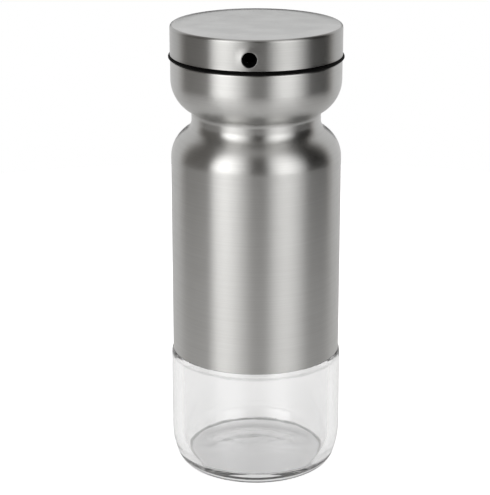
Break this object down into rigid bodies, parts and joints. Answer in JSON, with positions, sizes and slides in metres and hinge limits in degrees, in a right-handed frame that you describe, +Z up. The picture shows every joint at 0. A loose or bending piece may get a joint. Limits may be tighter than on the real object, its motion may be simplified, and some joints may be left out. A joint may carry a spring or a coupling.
{
  "type": "oil cruet",
  "caption": "Table oil cruet: clear glass bottle in a brushed steel sleeve with a waist and bowl-shaped collar, closed by a pull-out pouring head whose turning steel cap has a side pour hole.",
  "frame": {"origin": "centre of the glass base on the surface that it stands on", "axes": "+Z up along the bottle's axis, -Y towards the pour hole in the cap"},
  "size_m": [0.0654, 0.0654, 0.174],
  "materials": {
    "clear_glass": "clear pressed soda-lime glass, polished",
    "brushed_steel": "stainless steel, brushed round the axis",
    "black_plastic": "moulded black polypropylene, fine satin",
    "black_silicone": "black silicone rubber, matt",
    "screw_steel": "bright stainless steel"
  },
  "bodies": {
    "bottle": {"glass_bottle": "clear_glass", "steel_sleeve": "brushed_steel", "neck_collar": "black_plastic", "neck_washer": "black_silicone", "rim_gasket": "black_silicone"},
    "pour_head": {"pour_plug": "black_plastic", "stem_ring_upper": "black_silicone", "stem_ring_lower": "black_silicone", "port_seal": "black_silicone", "vent_seal": "black_silicone", "drum_lid": "black_plastic"},
    "cap": {"cap_liner": "black_plastic", "cap_shell": "brushed_steel", "pivot_washer": "screw_steel", "pivot_screw": "screw_steel"}
  },
  "joints": [
    {"name": "head_lift", "type": "slide", "parent": "bottle", "child": "pour_head", "axis": [0, 0, 1], "range_m": [0, 0.035]},
    {"name": "cap_turn", "type": "hinge", "parent": "pour_head", "child": "cap", "pos_m": [0, 0, 0.1664], "axis": [0, 0, 1], "range_deg": [-90, 0]}
  ]
}
